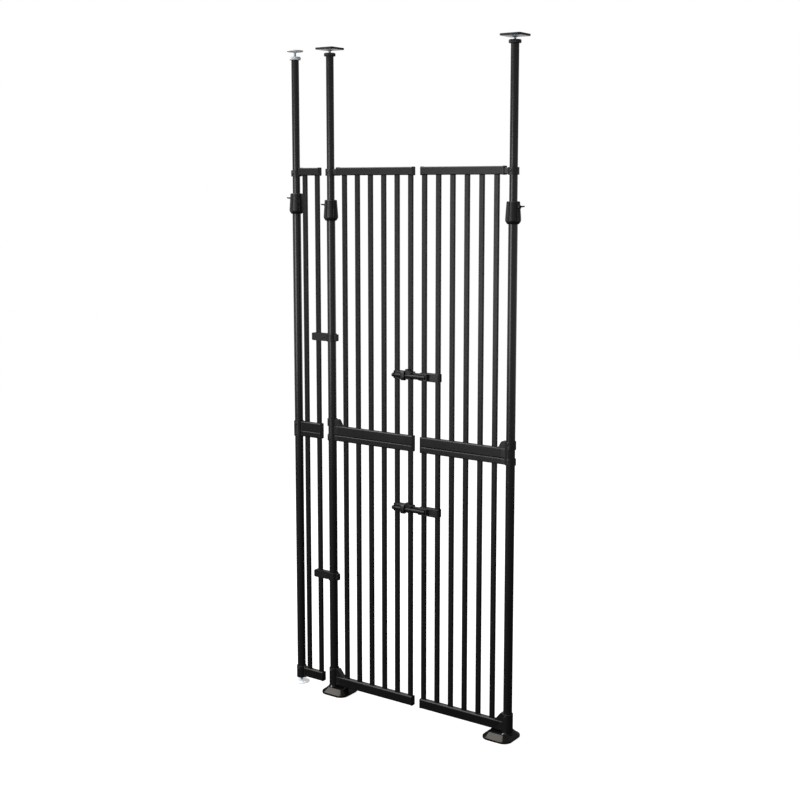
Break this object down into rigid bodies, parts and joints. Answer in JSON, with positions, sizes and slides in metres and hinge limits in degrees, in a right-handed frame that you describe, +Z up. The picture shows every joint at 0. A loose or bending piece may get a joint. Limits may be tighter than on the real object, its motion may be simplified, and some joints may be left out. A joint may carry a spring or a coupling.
{
  "type": "pet gate",
  "caption": "Tall barred pet gate held between floor and ceiling by telescopic tension poles, with two hinged doors, slide-bolt latches and a narrow fixed side panel.",
  "frame": {"origin": "on the floor under the axis of the left hinge pole, on the left foot's flat underside", "axes": "+X along the gate to the right, +Y to the back of the gate, +Z up"},
  "size_m": [0.959, 0.108, 2.3],
  "materials": {
    "powder_coat": "satin black powder coat",
    "black_plastic": "fine moulded texture, satin",
    "gloss_plastic": "smooth glossy moulding",
    "white_plastic": "smooth white moulding",
    "zinc_screw": "bright blue-white zinc plating",
    "rubber_pad": "matt rubber"
  },
  "bodies": {
    "frame": {"left_foot": "gloss_plastic", "right_foot": "gloss_plastic", "foot_pads": "rubber_pad", "left_lower_tube": "powder_coat", "right_lower_tube": "powder_coat", "side_lower_tube": "powder_coat", "left_clamp": "black_plastic", "right_clamp": "black_plastic", "side_clamp": "black_plastic", "side_foot_nut": "black_plastic", "side_brackets": "black_plastic", "side_top_rail": "powder_coat", "side_middle_rails": "powder_coat", "side_bottom_rail": "powder_coat", "side_bars": "powder_coat", "side_rail_caps": "black_plastic", "side_clips": "black_plastic", "pole_screws": "zinc_screw"},
    "side_foot": {"side_foot_disc": "white_plastic", "side_foot_screw": "zinc_screw"},
    "left_mast": {"left_upper_tube": "powder_coat", "left_tube_plug": "black_plastic"},
    "right_mast": {"right_upper_tube": "powder_coat", "right_tube_plug": "black_plastic"},
    "side_mast": {"side_upper_tube": "powder_coat", "side_tube_plug": "black_plastic"},
    "left_knob": {"left_knob": "black_plastic"},
    "right_knob": {"right_knob": "black_plastic"},
    "side_knob": {"side_knob": "white_plastic"},
    "left_plate": {"left_ceiling_plate": "gloss_plastic", "left_plate_screw": "zinc_screw"},
    "right_plate": {"right_ceiling_plate": "gloss_plastic", "right_plate_screw": "zinc_screw"},
    "side_plate": {"side_ceiling_disc": "white_plastic", "side_disc_screw": "zinc_screw"},
    "left_clamp_screw": {"left_clamp_screw": "black_plastic"},
    "right_clamp_screw": {"right_clamp_screw": "black_plastic"},
    "side_clamp_screw": {"side_clamp_screw": "black_plastic"},
    "left_door": {"left_top_bracket": "black_plastic", "left_middle_brackets": "black_plastic", "left_bottom_bracket": "black_plastic", "left_top_rail": "powder_coat", "left_middle_rails": "powder_coat", "left_bottom_rail": "powder_coat", "left_bars": "powder_coat", "left_rail_caps": "black_plastic", "left_door_screws": "zinc_screw", "latch_bodies": "black_plastic"},
    "right_door": {"right_top_bracket": "black_plastic", "right_middle_brackets": "black_plastic", "right_bottom_bracket": "black_plastic", "right_top_rail": "powder_coat", "right_middle_rails": "powder_coat", "right_bottom_rail": "powder_coat", "right_bars": "powder_coat", "right_rail_caps": "black_plastic", "right_door_screws": "zinc_screw", "latch_keepers": "black_plastic"},
    "upper_bolt": {"upper_bolt": "black_plastic"},
    "lower_bolt": {"lower_bolt": "black_plastic"}
  },
  "joints": [
    {"name": "left_mast_slide", "type": "slide", "parent": "frame", "child": "left_mast", "axis": [0, 0, 1], "range_m": [-0.25, 0.15]},
    {"name": "left_knob_turn", "type": "hinge", "parent": "left_mast", "child": "left_knob", "pos_m": [0, 0, 2.27], "axis": [0, 0, 1], "range_deg": [0, 1810]},
    {"name": "left_plate_lift", "type": "slide", "parent": "left_mast", "child": "left_plate", "axis": [0, 0, 1], "range_m": [0, 0.01]},
    {"name": "right_mast_slide", "type": "slide", "parent": "frame", "child": "right_mast", "axis": [0, 0, 1], "range_m": [-0.25, 0.15]},
    {"name": "right_knob_turn", "type": "hinge", "parent": "right_mast", "child": "right_knob", "pos_m": [0.731, 0, 2.27], "axis": [0, 0, 1], "range_deg": [0, 1810]},
    {"name": "right_plate_lift", "type": "slide", "parent": "right_mast", "child": "right_plate", "axis": [0, 0, 1], "range_m": [0, 0.01]},
    {"name": "side_mast_slide", "type": "slide", "parent": "frame", "child": "side_mast", "axis": [0, 0, 1], "range_m": [-0.25, 0.15]},
    {"name": "side_knob_turn", "type": "hinge", "parent": "side_mast", "child": "side_knob", "pos_m": [-0.154, 0, 2.27], "axis": [0, 0, 1], "range_deg": [0, 1810]},
    {"name": "side_plate_lift", "type": "slide", "parent": "side_mast", "child": "side_plate", "axis": [0, 0, 1], "range_m": [0, 0.01]},
    {"name": "left_clamp_turn", "type": "hinge", "parent": "frame", "child": "left_clamp_screw", "pos_m": [0, 0, 1.765], "axis": [-1, 0, 0], "range_deg": [-180, 0]},
    {"name": "right_clamp_turn", "type": "hinge", "parent": "frame", "child": "right_clamp_screw", "pos_m": [0.731, 0, 1.765], "axis": [1, 0, 0], "range_deg": [-180, 0]},
    {"name": "side_clamp_turn", "type": "hinge", "parent": "frame", "child": "side_clamp_screw", "pos_m": [-0.154, 0, 1.787], "axis": [-1, 0, 0], "range_deg": [-180, 0]},
    {"name": "side_foot_turn", "type": "hinge", "parent": "frame", "child": "side_foot", "pos_m": [-0.154, 0, 0.01], "axis": [0, 0, 1], "range_deg": [-360, 360]},
    {"name": "left_door_swing", "type": "hinge", "parent": "frame", "child": "left_door", "pos_m": [0, 0, 0.02], "axis": [0, 0, 1], "range_deg": [-100, 0]},
    {"name": "right_door_swing", "type": "hinge", "parent": "frame", "child": "right_door", "pos_m": [0.731, 0, 0.02], "axis": [0, 0, 1], "range_deg": [-100, 0]},
    {"name": "upper_bolt_slide", "type": "slide", "parent": "left_door", "child": "upper_bolt", "axis": [1, 0, 0], "range_m": [-0.034, 0]},
    {"name": "lower_bolt_slide", "type": "slide", "parent": "left_door", "child": "lower_bolt", "axis": [1, 0, 0], "range_m": [-0.034, 0]}
  ],
  "couplings": [
    {"joint": "left_knob_turn", "follows": "left_plate_lift", "rad_per_m": 3141.6},
    {"joint": "right_knob_turn", "follows": "right_plate_lift", "rad_per_m": 3141.6},
    {"joint": "side_knob_turn", "follows": "side_plate_lift", "rad_per_m": 3141.6}
  ]
}
